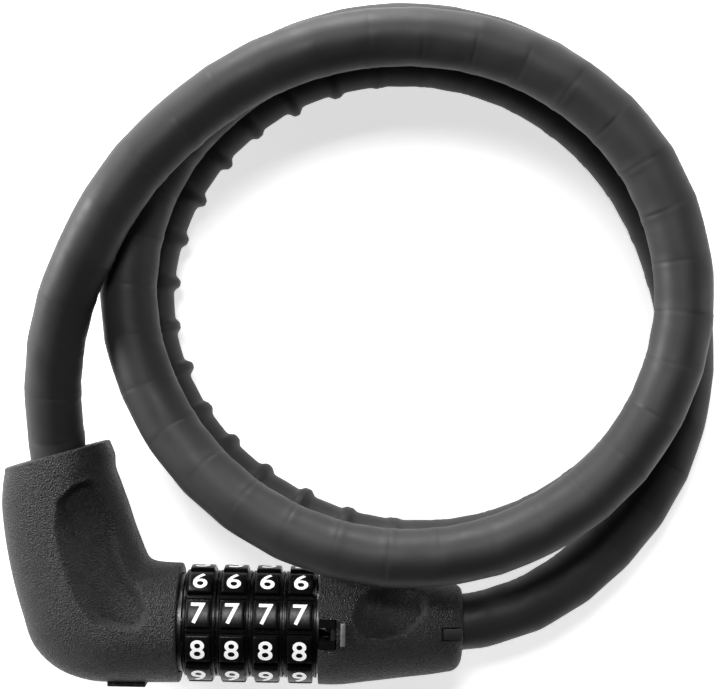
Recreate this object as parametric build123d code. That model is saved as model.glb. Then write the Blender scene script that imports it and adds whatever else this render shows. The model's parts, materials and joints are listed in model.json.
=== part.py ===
from build123d import *
import math
import os

# Driving dimensions, mm and degrees. The lock's own frame has the dial axis on X, x = 0 at the
# elbow's rim and the reading line on +Z. The axis frame is the same, with z = 0 on the surface.
DIALS = 4
DIGITS = 10
PITCH = 9.0  # one dial's share of the axis
CABLE_D = 15.0
AXIS_Z = 16.0  # height of the dial axis over the surface
ORIGIN_X, ORIGIN_Y = 12.79, 16.0  # bottom centre of the lock without its cable, in the axis frame

# Number rings and code rings
RING_X = (0.15, 8.85)
RING_R, PAD_R = 14.0, 15.5
PAD_X = (1.45, 7.55)
PAD_GAP = 2.1
COUNTERBORE_R, RELIEF_R, RING_TOOTH_R = 13.1, 11.6, 10.3
RING_TOOTH_X, RING_TOOTH_W = (5.4, 8.4), 2.9
CODE_X, CODE_R, CODE_TOOTH_R = (3.8, 8.4), 9.9, 11.25
CODE_TOOTH_X, CODE_TOOTH_W = (5.5, 8.1), 3.2
GROOVE_X, GROOVE_R = (4.8, 7.4), 8.3
GATE_W = 4.6
FIRST_PAD = 17.4  # from the reading line down to the centre of the pad below it

# Core, bolt and reset slider
DISC_R, DISC_T = 12.9, 1.0
CORE_R, CORE_BORE, CORE_X = 6.0, 4.15, (-14.2, 44.0)
CORE_FLANGE_R, CORE_FLANGE_T = 8.5, 2.0
SLOT_W = 4.4
BOLT_R, BOLT_X = 4.0, (3.0, 46.0)
TOOTH_X, TOOTH_W, TOOTH_R = (5.1, 7.1), 4.0, 8.0
BAR_W, BAR_Z = 3.0, (4.85, 5.75)
FINGER_X, FINGER_R, FINGER_SPAN = (5.0, 7.2), (6.2, 8.0), 50.0
COLLAR_X, COLLAR_R = (36.5, 38.0), 13.3
NOSE_X, NOSE_W, NOSE_R = (36.5, 40.7), 7.4, 15.7
YOKE_X, YOKE_R = (41.2, 42.6), 10.8
LEAF_X, LEAF_Y, LEAF_W = (4.0, 36.0), (5.05, 5.45), 2.6
TAB_W = 3.2
RETAINER_X, RETAINER_R, RETAINER_GAP = (43.0, 43.8), 7.6, 5.2
# Springs: mean radius, wire radius and turns
EJECTOR_SPRING, EJECTOR_SPRING_X = (3.2, 0.5, 6), (-12.1, 2.9)
RESET_SPRING, RESET_SPRING_Y, RESET_SPRING_BORE = (0.9, 0.2, 3), 8.9, 1.3

# Sliding head, a turned profile of (x, radius)
HEAD_START, HEAD_END = 36.2, 74.3
HEAD_PROFILE = [(HEAD_START, 15.9), (40.4, 16.0), (55.0, 14.4), (65.5, 13.1), (HEAD_END, 11.9)]
HEAD_CAVITY_R, HEAD_CAVITY_END = 13.6, 45.5
FLANGE_R, FLANGE_X = 9.0, (46.0, 49.0)
SOCKET_R, SOCKET_END = 6.2, 60.5
SOCKET_PIN_X, SOCKET_PIN_R, SOCKET_PIN_Y = 55.5, 1.2, (3.5, 6.1)
SOCKET_HOLE_X = 51.0  # bottom of the rope's hole
O_RING_X, O_RING_R = 45.3, 0.6
HEAD_DISH = (56.5, 3.5, 24.0, 1.7)  # x, y, sphere radius, depth
HEAD_FRONT = 14.3  # height of the head's front over the dial axis, at the dish
INDEX_X, INDEX_W, INDEX_Z = (42.2, 43.7), 6.2, (14.8, 16.3)
CLIP_X, CLIP_W, CLIP_Z = (69.2, 73.0), 3.6, (10.6, 12.4)

# Elbow: inner point, outer point and half height of each section, in the lock's own frame
ELBOW_SECTIONS = [
    ((-0.55, 15.9), (-0.55, -15.9), 15.9),
    ((-7.2, 16.0), (-11.0, -16.0), 15.9),
    ((-9.5, 17.0), (-27.0, -15.2), 15.8),
    ((-10.5, 18.8), (-38.7, -7.0), 15.5),
    ((-11.8, 21.8), (-44.0, 5.8), 15.0),
    ((-14.2, 28.3), (-47.0, 18.6), 14.5),
    ((-18.2, 39.5), (-48.6, 30.2), 14.0),
    ((-21.1, 48.6), (-48.0, 40.3), 13.4),
]
WALL = 2.2
WEB_X = -3.0  # inner side of the wall behind the first disc
SADDLE_X = (-12.1, -9.5)
ELBOW_DISH = (-22.5, 19.0, 22.0, 2.6)
ELBOW_FRONT = 15.2  # height of the elbow's front over the dial axis, at the dish
SIDE_PAD = ((-19.4, -9.3), (-16.6, -12.0), (-5.0, 5.0))
ELBOW_SCREWS = [(-18.0, -8.6), (-37.0, 2.4), (-18.4, 25.9), (-43.0, 21.0)]
POST_R, PILOT_R, SHANK_R = 3.0, 1.25, 1.2
SCREW_HEAD_R, SCREW_HEAD_T = 2.4, 2.0
ELBOW_SCREW_Z = (-9.0, 6.0)  # underside of the head, tip
HEAD_SCREWS = [(53.0, -9.3), (53.0, 9.3)]
HEAD_SCREW_Z = (-4.5, 5.3)

# Cable, from its centre line outwards
ROPE_R = 3.2
LINK_R, LINK_BORE, LINK_L, LINK_PITCH = 6.3, 4.9, 11.4, 13.5
SLEEVE_BORE = 6.85
CABLE_CLEAR = 0.3
SEAL_R = 9.1
SEAL_ELBOW, SEAL_HEAD = (9.4, 13.0), (6.4, 10.4)  # along the cable from its end
ROPE_TAIL = 14.0
FERRULE_R, FERRULE_L = 5.0, 22.0
PIN_R = 1.8

# Cable route in the axis frame: (x, y, height). The way out of the elbow, the turns as
# (radius, height) every TURN_STEP degrees clockwise about COIL_CENTRE, and the way into the head.
FROM_ELBOW = [(-32.4, 32.4, 16.0), (-35.0, 48.5, 17.2), (-35.4, 65.8, 22.8),
              (-31.4, 84.1, 30.8), (-22.6, 102.2, 37.8)]
COIL_CENTRE = (51.7, 83.8)
TURN_START, TURN_STEP = 150.0, 30.0
COIL = [(73.6, 38.7), (70.9, 38.7), (71.6, 38.7), (75.8, 38.7), (79.8, 38.7), (79.2, 38.7),
        (74.4, 38.7), (68.8, 38.7), (64.6, 38.4), (63.4, 34.6), (65.2, 27.4), (69.4, 23.6),
        (72.2, 23.1), (73.6, 23.1), (76.4, 23.1), (79.6, 23.1), (83.2, 23.1), (83.0, 23.1),
        (77.0, 23.1), (69.6, 23.1), (63.5, 22.9), (60.9, 17.5), (63.2, 10.6), (66.6, 7.9),
        (67.9, 7.6), (69.6, 7.6), (71.6, 7.6), (75.2, 7.6), (79.4, 7.6), (84.2, 7.6)]
INTO_HEAD = [(134.0, 58.0, 7.8), (127.5, 39.5, 8.8), (116.0, 23.5, 10.9), (101.5, 10.8, 13.6),
             (87.5, 3.9, 15.5), (75.0, 1.0, 16.0), (62.8, 0.2, 16.0)]


def barrel(x0, x1, r):
    return Pos((x0 + x1) / 2, 0, 0) * Rot(Y=90) * Cylinder(r, x1 - x0)


def ring(x0, x1, r_out, r_in):
    return barrel(x0, x1, r_out) - barrel(x0 - 1, x1 + 1, r_in)


def block(x, y, z):
    """A box between the two x, the two y and the two z given."""
    centre = Pos(sum(x) / 2, sum(y) / 2, sum(z) / 2)
    return centre * Box(x[1] - x[0], y[1] - y[0], z[1] - z[0])


def bar(x, width, z):
    return block(x, (-width / 2, width / 2), z)


def spokes(shape, count=DIGITS, first=0.0):
    """Copies of a shape round the dial axis."""
    return [Rot(X=first + i * 360 / count) * shape for i in range(count)]


def cells(make):
    """One shape for each dial, moved to its place on the axis."""
    return [Pos(i * PITCH, 0, 0) * make for i in range(DIALS)]


def group(shapes):
    return Compound(children=[s for shape in shapes for s in shape.solids()])


def raised(shape):
    """From the lock's own frame to the axis frame."""
    return Pos(0, 0, AXIS_Z) * shape


def placed(shape):
    """From the axis frame to the part's frame, with its origin under the lock."""
    return Pos(-ORIGIN_X, -ORIGIN_Y, 0) * shape


def number_ring():
    body = barrel(*RING_X, RING_R) + barrel(*PAD_X, PAD_R)
    gap = bar((0, PITCH), PAD_GAP, (RING_R, PAD_R + 1))
    body -= spokes(gap, first=-FIRST_PAD + 180 / DIGITS)
    body -= barrel(-1, 0.6, COUNTERBORE_R)
    body -= barrel(RING_TOOTH_X[1], PITCH + 1, COUNTERBORE_R)
    body -= barrel(0, PITCH, RELIEF_R)
    tooth = bar(RING_TOOTH_X, RING_TOOTH_W, (RING_TOOTH_R, RELIEF_R + 0.4))
    return body + spokes(tooth, first=180 / DIGITS)


def code_ring():
    body = barrel(*CODE_X, CODE_R)
    tooth = bar(CODE_TOOTH_X, CODE_TOOTH_W, (CODE_R - 0.6, CODE_TOOTH_R))
    body += spokes(tooth)
    body -= barrel(0, PITCH, CORE_R + 0.1)
    body -= barrel(*GROOVE_X, GROOVE_R)
    return body - bar((0, PITCH), GATE_W, (0, GROOVE_R))


def dial_discs():
    half = DISC_T / 2
    disc = ring(-half, half, DISC_R, CORE_R) - bar((-1, 1), SLOT_W, (0, TOOTH_R + 0.2))
    return group([Pos(i * PITCH, 0, 0) * disc for i in range(DIALS + 1)])


def click_leaf():
    """The leaf spring in the core's side groove, with one bump under each code ring."""
    body = block(LEAF_X, LEAF_Y, (-LEAF_W / 2, LEAF_W / 2))
    for bump in cells(block((7.5, 8.3), (LEAF_Y[0], CORE_R - 0.1), (-0.8, 0.8))):
        body += bump
    return body


def core_tube():
    body = barrel(*CORE_X, CORE_R) + barrel(CORE_X[0], CORE_X[0] + CORE_FLANGE_T, CORE_FLANGE_R)
    body -= barrel(CORE_X[0] + CORE_FLANGE_T, CORE_X[1] + 1, CORE_BORE)
    body -= bar((4.6, CORE_X[1] + 1), SLOT_W, (0, CORE_R + 1))
    groove = LEAF_W / 2 + 0.1
    body -= block((LEAF_X[0] - 0.2, LEAF_X[1] + 0.2), (LEAF_Y[0], 8), (-groove, groove))
    return body - bar((1.5, CORE_X[1] + 1), BAR_W + 0.2, (-CORE_R - 1, -BAR_Z[0] + 0.1))


def locating_collar():
    """The fixed plate behind the last disc, with the key nose that the head's notch fits."""
    body = barrel(*COLLAR_X, COLLAR_R) + bar(NOSE_X, NOSE_W, (12.2, NOSE_R))
    body -= barrel(0, 60, CORE_R)
    body -= bar((30, 60), SLOT_W, (0, TOOTH_R + 0.2))
    for side in (-1, 1):
        body -= Pos(0, side * RESET_SPRING_Y, 0) * barrel(30, 60, RESET_SPRING_BORE)
    return body - bar((30, 60), TAB_W + 0.4, (0, NOSE_R + 1))


def retaining_ring():
    return ring(*RETAINER_X, RETAINER_R, CORE_R) - bar((40, 46), RETAINER_GAP, (0, 9))


def coil_spring(x0, x1, radius, wire, turns):
    height = x1 - x0 - 2 * wire
    helix = Helix(pitch=height / turns, height=height, radius=radius)
    section = Plane(origin=helix @ 0, z_dir=helix % 0) * Circle(wire)
    return Pos(x0 + wire, 0, 0) * Rot(Y=90) * sweep(section, path=helix, is_frenet=True)


def reset_springs():
    spring = coil_spring(COLLAR_X[0] + 0.05, YOKE_X[0] - 0.05, *RESET_SPRING)
    return group([Pos(0, side * RESET_SPRING_Y, 0) * spring for side in (-1, 1)])


def reset_slider():
    """The yoke round the core, its tab in the key nose, and the bar with one finger for each
    code ring that runs in the core's groove."""
    yoke = ring(*YOKE_X, YOKE_R, CORE_R + 0.15) - bar((40, 46), GATE_W, (0, GROOVE_R))
    arm = bar((39.6, YOKE_X[1]), TAB_W, (9.4, 13.2)) + bar((39.6, 40.6), TAB_W, (12.0, 15.2))
    rail = bar((FINGER_X[0], YOKE_X[1]), BAR_W, (-BAR_Z[1], -BAR_Z[0]))
    foot = bar(YOKE_X, BAR_W - 0.4, (-7.0, -BAR_Z[0] - 0.2))
    finger = ring(*FINGER_X, FINGER_R[1], FINGER_R[0])
    half = math.radians(FINGER_SPAN / 2)
    finger &= bar(FINGER_X, 2 * FINGER_R[1] * math.sin(half), (-FINGER_R[1], -2))
    finger += bar(FINGER_X, BAR_W - 0.4, (-6.6, -BAR_Z[0] - 0.2))
    body = yoke + arm + rail + foot
    for one in cells(finger):
        body += one
    return body


def bolt():
    body = barrel(*BOLT_X, BOLT_R) + barrel(*FLANGE_X, FLANGE_R)
    body += barrel(FLANGE_X[1], SOCKET_END, SOCKET_R)
    for tooth in cells(bar(TOOTH_X, TOOTH_W, (BOLT_R - 1.5, TOOTH_R))):
        body += tooth
    body -= barrel(SOCKET_HOLE_X, SOCKET_END + 1, ROPE_R + 0.1)
    return body - Pos(SOCKET_PIN_X, 0, 0) * Rot(X=90) * Cylinder(SOCKET_PIN_R, 20)


def head_pins():
    """The two pins that hold the rope's end in the bolt's socket, one from each side."""
    y0, y1 = SOCKET_PIN_Y
    pin = Pos(SOCKET_PIN_X, (y0 + y1) / 2, 0) * Rot(X=90) * Cylinder(SOCKET_PIN_R, y1 - y0)
    return group([pin, Rot(X=180) * pin])


def bolt_o_ring():
    return Pos(O_RING_X, 0, 0) * Rot(Y=90) * Torus(BOLT_R + O_RING_R, O_RING_R)


def dish(x, y, radius, depth, surface, wall=0.0):
    """A ball that cuts a dish into the front of a shell whose surface is at this height."""
    return Pos(x, y, surface - depth + radius) * Sphere(radius + wall)


def head_blank():
    corners = [(HEAD_START, 0)] + HEAD_PROFILE + [(HEAD_END, 0)]
    face = make_face(Polyline([(x, 0, r) for x, r in corners], close=True))
    solid = revolve(face, Axis.X, 360)
    rims = solid.edges().filter_by(GeomType.CIRCLE).sort_by(Axis.X)
    solid = fillet(rims[-1], 4.0)
    return solid - dish(*HEAD_DISH, HEAD_FRONT)


def head_shell(front):
    """One half of the sliding head, split on the plane of the dial axis."""
    body = head_blank() - barrel(HEAD_START - 1, HEAD_CAVITY_END, HEAD_CAVITY_R)
    body -= barrel(HEAD_CAVITY_END - 1, FLANGE_X[0] + 1.5, 7.0)
    body -= barrel(FLANGE_X[0] - 0.1, FLANGE_X[1] + 0.1, FLANGE_R + 0.1)
    body -= barrel(FLANGE_X[1], SOCKET_END + 0.3, SOCKET_R + 0.15)
    body -= barrel(SOCKET_END, 64.0, ROPE_R + 0.6)
    body -= bar((HEAD_START - 1, 41.0), NOSE_W + 0.4, (12, 20))
    body -= index_bar()
    body -= end_clip()
    for x, y in HEAD_SCREWS:
        body -= screw_hole(x, y, *HEAD_SCREW_Z)
    side = (0, 30) if front else (-30, 0)
    half = raised(body & block((30, 80), (-30, 30), side))
    half -= along_cable(-0.2, 30.0, CABLE_D / 2 + CABLE_CLEAR, "head")
    return half - along_cable(SEAL_HEAD[0] - 0.1, 30.0, SEAL_R + 0.1, "head")


def head_screws():
    return group([screw(x, y, *HEAD_SCREW_Z) for x, y in HEAD_SCREWS])


def post(x, y, radius, z0, z1):
    """A cylinder upright between two heights."""
    return Pos(x, y, (z0 + z1) / 2) * Cylinder(radius, z1 - z0)


def screw(x, y, head_z, tip_z):
    """A screw driven from the back, its head's underside at head_z."""
    top = head_z - SCREW_HEAD_T
    head = post(x, y, SCREW_HEAD_R, top, head_z) - post(x, y, 0.9, top - 0.1, top + 0.9)
    return head + post(x, y, SHANK_R, head_z, tip_z)


def screw_hole(x, y, head_z, tip_z):
    """The pilot hole of a screw and the well over its head."""
    pilot = post(x, y, PILOT_R, head_z, tip_z + 0.2)
    return pilot + post(x, y, SCREW_HEAD_R + 0.15, -40, head_z)


def index_bar():
    """The inlaid mark beside the notch."""
    return bar(INDEX_X, INDEX_W, INDEX_Z) & barrel(*INDEX_X, INDEX_Z[1])


def end_clip():
    """The inlaid clip at the cable end of the head."""
    return bar(CLIP_X, CLIP_W, CLIP_Z) & barrel(*CLIP_X, CLIP_Z[1])


def section_ellipse(inner, outer, half_height, wall=0.0):
    mid = Vector((inner[0] + outer[0]) / 2, (inner[1] + outer[1]) / 2, 0)
    across = Vector(inner[0] - outer[0], inner[1] - outer[1], 0)
    plane = Plane(origin=mid, x_dir=across, z_dir=across.cross(Vector(0, 0, 1)))
    return plane * Ellipse(across.length / 2 - wall, half_height - wall)


def elbow_blank():
    return loft([section_ellipse(*s) for s in ELBOW_SECTIONS])


def elbow_hollow():
    return loft([section_ellipse(*s, wall=WALL) for s in ELBOW_SECTIONS])


def cable_end(at):
    """The cable's end in the elbow or in the head, in the axis frame, and its way outwards."""
    end, after = (Vector(*p) for p in (FROM_ELBOW[:2] if at == "elbow" else INTO_HEAD[:-3:-1]))
    return end, (after - end).normalized()


def along_cable(start, stop, radius, at="elbow"):
    """A cylinder on the line of the cable's end, from start to stop past that end."""
    end, way = cable_end(at)
    plane = Plane(origin=end + way * ((start + stop) / 2), z_dir=way)
    return plane.location * Cylinder(radius, stop - start)


def pin_place():
    """The cross pin through the elbow's ferrule, upright in the lock's own frame."""
    end, way = cable_end("elbow")
    middle = end - way * (ROPE_TAIL + 2 * PIN_R)
    return middle.X, middle.Y


def elbow_shell(front):
    """One half of the elbow, split on the plane of the dial axis and of its arm."""
    blank = elbow_blank()
    px, py = pin_place()
    posts = [post(x, y, POST_R, -20, 20) for x, y in ELBOW_SCREWS]
    posts.append(post(px, py, POST_R + 0.6, -20, 20))
    under_dish = dish(*ELBOW_DISH, ELBOW_FRONT, WALL)
    hollow = elbow_hollow() - block((WEB_X, 5), (-30, 30), (-30, 30)) - under_dish
    body = blank + block(*SIDE_PAD) - hollow
    body += blank & block(SADDLE_X, (-14.5, 13.5), (-15, 15))
    for one in posts:
        body += blank & one
    body -= barrel(CORE_X[0] - 5, 1, CORE_R)
    body -= barrel(CORE_X[0] - 5, SADDLE_X[0], CORE_FLANGE_R + 0.1)
    for x, y in ELBOW_SCREWS:
        body -= screw_hole(x, y, *ELBOW_SCREW_Z)
    body -= post(px, py, PIN_R, -10.1, 10.1)
    body -= dish(*ELBOW_DISH, ELBOW_FRONT)
    side = (0, 30) if front else (-30, 0)
    half = raised(body & block((-60, 10), (-40, 70), side))
    half -= along_cable(-FERRULE_L - 1, 0.3, FERRULE_R + 0.5)
    half -= along_cable(SEAL_ELBOW[0] - 0.1, 40.0, SEAL_R + 0.1)
    return half - along_cable(0.0, 40.0, CABLE_D / 2 + CABLE_CLEAR)


def elbow_screws():
    return group([screw(x, y, *ELBOW_SCREW_Z) for x, y in ELBOW_SCREWS])


def elbow_pin():
    px, py = pin_place()
    return post(px, py, PIN_R, -10, 10)


def elbow_ferrule():
    """The steel sleeve crimped on the rope's end, with the hole of its cross pin."""
    body = along_cable(-FERRULE_L, -0.4, FERRULE_R) - along_cable(-ROPE_TAIL, 5, ROPE_R)
    return body - raised(elbow_pin())


def cable_seal(start, stop, at):
    """A rubber ring round the cable in the mouth of the elbow or of the head."""
    outer = along_cable(start, stop, SEAL_R, at)
    return outer - along_cable(start - 1, stop + 1, CABLE_D / 2 + 0.1, at)


def route_points():
    turns = []
    for i, (radius, height) in enumerate(COIL):
        angle = math.radians(TURN_START - i * TURN_STEP)
        turns.append((COIL_CENTRE[0] + radius * math.cos(angle),
                      COIL_CENTRE[1] + radius * math.sin(angle), height))
    return [Vector(*p) for p in FROM_ELBOW + turns + INTO_HEAD]


def route():
    """The cable's centre line: runs joined by tangent arcs as large as their runs allow."""
    points = route_points()
    runs = [b - a for a, b in zip(points, points[1:])]
    radii = []
    for before, after in zip(runs, runs[1:]):
        half_turn = math.radians(before.get_angle(after)) / 2
        radii.append(0.45 * min(before.length, after.length) / math.tan(half_turn))
    print("cord arc radii", [round(r) for r in radii])
    return FilletPolyline(*points, radius=radii)


def swept(path, r_out, r_in=0.0):
    section = Plane(origin=path @ 0, z_dir=path % 0) * Circle(r_out)
    if r_in:
        section -= Plane(origin=path @ 0, z_dir=path % 0) * Circle(r_in)
    return sweep(section, path=path)


def wire_rope(path):
    """The steel rope, which runs past the sleeve into the elbow's ferrule and the bolt's socket."""
    in_bolt = Pos(0, 0, AXIS_Z) * barrel(51.8, INTO_HEAD[-1][0] + 0.8, ROPE_R)
    return swept(path, ROPE_R) + [along_cable(-ROPE_TAIL, 0, ROPE_R), in_bolt]


def armour_links(path):
    """Short steel sleeves threaded on the rope."""
    link = Cylinder(LINK_R, LINK_L) - Cylinder(LINK_BORE, LINK_L + 2)
    count = int(path.length // LINK_PITCH)
    spare = (path.length - count * LINK_PITCH) / 2
    links = []
    for i in range(count):
        at = spare + (i + 0.5) * LINK_PITCH
        centre = path.position_at(at, position_mode=PositionMode.LENGTH)
        way = path.tangent_at(at, position_mode=PositionMode.LENGTH)
        links.append(Plane(origin=centre, z_dir=way).location * link)
    return group(links)


def main():
    path = route()
    nodes = {
        "elbow_front_shell": elbow_shell(True),
        "elbow_back_shell": elbow_shell(False),
        "elbow_screws": raised(elbow_screws()),
        "elbow_anchor_pin": raised(elbow_pin()),
        "elbow_ferrule": elbow_ferrule(),
        "elbow_cable_seal": cable_seal(*SEAL_ELBOW, "elbow"),
        "core_tube": raised(core_tube()),
        "dial_discs": raised(dial_discs()),
        "click_leaf": raised(click_leaf()),
        "locating_collar": raised(locating_collar()),
        "retaining_ring": raised(retaining_ring()),
        "reset_springs": raised(reset_springs()),
        "reset_slider": raised(reset_slider()),
        "bolt": raised(bolt()),
        "bolt_o_ring": raised(bolt_o_ring()),
        "head_front_shell": head_shell(True),
        "head_back_shell": head_shell(False),
        "head_screws": raised(head_screws()),
        "head_pins": raised(head_pins()),
        "head_cable_seal": cable_seal(*SEAL_HEAD, "head"),
        "index_bar": raised(index_bar()),
        "end_clip": raised(end_clip()),
        "ejector_spring": raised(coil_spring(*EJECTOR_SPRING_X, *EJECTOR_SPRING)),
        "cable_sleeve": swept(path, CABLE_D / 2, SLEEVE_BORE),
        "armour_links": armour_links(path),
        "wire_rope": wire_rope(path),
    }
    for i in range(DIALS):
        nodes[f"number_ring_{i + 1}"] = raised(Pos(i * PITCH, 0, 0) * number_ring())
        nodes[f"code_ring_{i + 1}"] = raised(Pos(i * PITCH, 0, 0) * code_ring())
    os.makedirs("parts", exist_ok=True)
    for name, shape in nodes.items():
        export_step(placed(shape), f"parts/{name}.step")
    print("cable length", round(path.length, 1))


main()
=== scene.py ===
"""The cable lock's looks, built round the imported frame.

Lock sections are in millimetres in the lock's own frame: the dial axis on X, x = 0 beside the
elbow's rim and the reading line on +Z. The cable, the camera and the lights are in metres.
"""
import json
import math

import bmesh
import bpy
import numpy as np
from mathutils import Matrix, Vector
from mathutils.bvhtree import BVHTree


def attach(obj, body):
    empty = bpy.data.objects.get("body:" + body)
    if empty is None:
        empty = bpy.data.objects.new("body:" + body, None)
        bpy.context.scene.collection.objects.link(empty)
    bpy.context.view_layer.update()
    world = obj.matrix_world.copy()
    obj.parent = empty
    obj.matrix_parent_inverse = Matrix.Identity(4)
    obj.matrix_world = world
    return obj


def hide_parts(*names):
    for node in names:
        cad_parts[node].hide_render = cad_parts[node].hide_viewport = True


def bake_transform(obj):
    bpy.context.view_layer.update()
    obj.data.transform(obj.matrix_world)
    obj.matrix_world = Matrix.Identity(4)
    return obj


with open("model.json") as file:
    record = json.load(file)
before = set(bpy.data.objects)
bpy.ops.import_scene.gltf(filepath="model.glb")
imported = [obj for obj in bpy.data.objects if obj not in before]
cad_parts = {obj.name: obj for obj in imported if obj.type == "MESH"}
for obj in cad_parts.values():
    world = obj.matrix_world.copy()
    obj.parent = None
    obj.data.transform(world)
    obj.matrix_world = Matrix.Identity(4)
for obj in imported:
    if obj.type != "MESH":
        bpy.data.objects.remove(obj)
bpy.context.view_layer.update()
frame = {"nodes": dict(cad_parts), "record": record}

MM = 0.001
ORIGIN = np.array([12.79, 16.0, -16.0])  # the part's origin in the lock's own frame
DIALS, DIGITS = 4, 10

# Cable route, metres, with z = 0 on the surface: the way out of the elbow, the turns as (radius,
# height) every TURN_STEP degrees clockwise about COIL_CENTRE, and the way into the head.
ROUTE_ORIGIN = np.array([0.01279, 0.0160, 0.0])
FROM_ELBOW = [(-0.0324, 0.0324, 0.0160), (-0.0350, 0.0485, 0.0172), (-0.0354, 0.0658, 0.0228),
              (-0.0314, 0.0841, 0.0308), (-0.0226, 0.1022, 0.0378)]
COIL_CENTRE = (0.0517, 0.0838)
TURN_START, TURN_STEP = 150.0, 30.0
COIL = [(0.0736, 0.0387), (0.0709, 0.0387), (0.0716, 0.0387), (0.0758, 0.0387), (0.0798, 0.0387),
        (0.0792, 0.0387), (0.0744, 0.0387), (0.0688, 0.0387), (0.0646, 0.0384), (0.0634, 0.0346),
        (0.0652, 0.0274), (0.0694, 0.0236), (0.0722, 0.0231), (0.0736, 0.0231), (0.0764, 0.0231),
        (0.0796, 0.0231), (0.0832, 0.0231), (0.0830, 0.0231), (0.0770, 0.0231), (0.0696, 0.0231),
        (0.0635, 0.0229), (0.0609, 0.0175), (0.0632, 0.0106), (0.0666, 0.0079), (0.0679, 0.0076),
        (0.0696, 0.0076), (0.0716, 0.0076), (0.0752, 0.0076), (0.0794, 0.0076), (0.0842, 0.0076)]
INTO_HEAD = [(0.1340, 0.0580, 0.0078), (0.1275, 0.0395, 0.0088), (0.1160, 0.0235, 0.0109),
             (0.1015, 0.0108, 0.0136), (0.0875, 0.0039, 0.0155), (0.0750, 0.0010, 0.0160),
             (0.0628, 0.0002, 0.0160)]

# Cable, metres
CABLE_R, LINK_PITCH = 0.0075, 0.0135
LINK_STATIONS = (0.0, 0.03, 0.06, 0.10, 0.14, 0.19, 0.27, 0.5, 0.73, 0.81, 0.86, 0.90, 0.94, 0.97)
LINK_R, LINK_BORE, LINK_L = 0.0063, 0.0049, 0.0114
STRAND_R, STRAND_LAY, STRAND_PITCH = 0.00105, 0.0021, 0.026
ROPE_TAIL, SOCKET_TAIL = 0.014, 0.0105
FOLDED = (19.6, 26.2)  # steps of the coil between which the sleeve is folded hard at each joint

# Sleeve's surface, metres
CHORD_SHARE = 0.92  # how closely its middle keeps to the straight lines from joint to joint
SKIN_UNDER, SKIN_BELLY, SKIN_WOBBLE = 0.00012, 0.00005, 0.00005
FOLD_HEIGHT, HARD_FOLD_HEIGHT, FOLD_WIDTH, FOLD_SHIFT = 0.00028, 0.0014, 0.0019, 0.0006
CREASE_DEPTH, CREASE_WIDTH = 0.00003, 0.0005

# Elbow: inner x, y and outer x, y of each section, its half height and how square it is
ELBOW = [
    (-0.9, 15.8, -0.9, -15.8, 15.8, 2.0),
    (-4.5, 15.9, -6.0, -15.9, 15.85, 2.0),
    (-7.6, 16.2, -15.0, -16.0, 15.85, 2.05),
    (-9.6, 17.2, -25.0, -15.5, 15.8, 2.1),
    (-10.7, 19.2, -33.0, -12.6, 15.6, 2.15),
    (-12.0, 22.4, -39.1, -7.0, 15.4, 2.2),
    (-13.6, 26.4, -42.8, 2.5, 15.1, 2.25),
    (-15.4, 31.6, -46.0, 14.0, 14.8, 2.3),
    (-17.4, 36.8, -48.0, 24.6, 14.4, 2.3),
    (-19.1, 41.4, -48.7, 31.5, 14.1, 2.3),
    (-19.4, 44.8, -48.5, 36.2, 13.9, 2.3),
    (-20.6, 47.7, -48.1, 39.6, 13.5, 2.3),
]
WALL = 2.2
SEAM_DEPTH, SEAM_ANGLE = 0.22, 0.018
ELBOW_LIP, ELBOW_HEM = 0.9, 0.45  # roundings of the end round the cable and of the rim by the dials
ELBOW_BORE_R, ELBOW_BORE_L = 8.3, 5.0
ELBOW_WAY = (-0.295, 0.9555, 0.0)  # of the arm, out of its end
RIM_BORE_R = 13.3
# Outline of the finger dish in the elbow's front: x, y and the width of its side there
ELBOW_DISH = [(-31.7, 32.9, 2.2), (-29.2, 35.8, 1.8), (-26.4, 37.8, 2.2), (-22.8, 38.3, 4.0),
              (-20.2, 34.0, 4.5), (-17.6, 28.3, 4.5), (-14.8, 17.4, 4.5), (-12.2, 12.4, 4.0),
              (-9.1, 8.3, 3.0), (-7.9, 3.9, 2.2), (-10.4, 0.3, 1.8), (-15.4, 0.4, 1.8),
              (-21.6, 2.2, 2.2), (-25.2, 6.4, 4.0), (-29.4, 16.2, 5.0), (-31.9, 24.6, 4.5)]
ELBOW_DISH_DEPTH = 3.0
SIDE_PAD = ((-19.4, -9.3), (-16.6, -14.0), 5.0)

# Sliding head: (x, radius) of its turned profile
HEAD_RIM = [(36.3, 13.9), (36.3, 15.2), (36.36, 15.45)]
HEAD = [(36.5, 15.6), (38.0, 15.65), (40.5, 15.65), (49.8, 14.6), (58.9, 13.4), (67.1, 12.35),
        (70.4, 11.75)]
HEAD_END, HEAD_BORE_R, HEAD_BORE_Y, HEAD_BORE_FROM = 74.2, 8.1, 0.93, 68.0
HEAD_INSIDE = [(66.0, 8.0), (62.0, 8.0), (61.6, 6.5), (49.1, 6.5), (49.1, 9.2), (45.9, 9.2),
               (45.9, 7.2), (45.5, 7.2), (45.5, 13.6), (36.3, 13.6)]
HEAD_DISH = [(45.3, 4.6, 2.6), (46.0, 2.4, 2.2), (47.6, 0.3, 1.6), (51.0, -0.9, 1.2), (55.2, -0.9, 1.2),
             (59.2, 0.4, 1.2), (62.2, 2.6, 1.4), (64.6, 6.0, 2.0), (64.4, 9.6, 3.0), (60.0, 11.4, 3.5),
             (53.0, 11.6, 3.5), (47.4, 9.6, 3.0)]
HEAD_DISH_DEPTH, HEAD_DISH_SPAN = 2.3, (44.0, 66.5)
HEAD_SKIN_R = 10.5  # what is farther out than this belongs to the outside of the head
NOTCH = ((30.0, 41.1), 3.9, (12.0, 20.0))  # x, half width in y, z
MARK = ((42.1, 43.5), 3.1, (13.5, 15.75))
CLIP = ((68.4, 76.0), 1.85, (10.3, 16.0))

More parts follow.
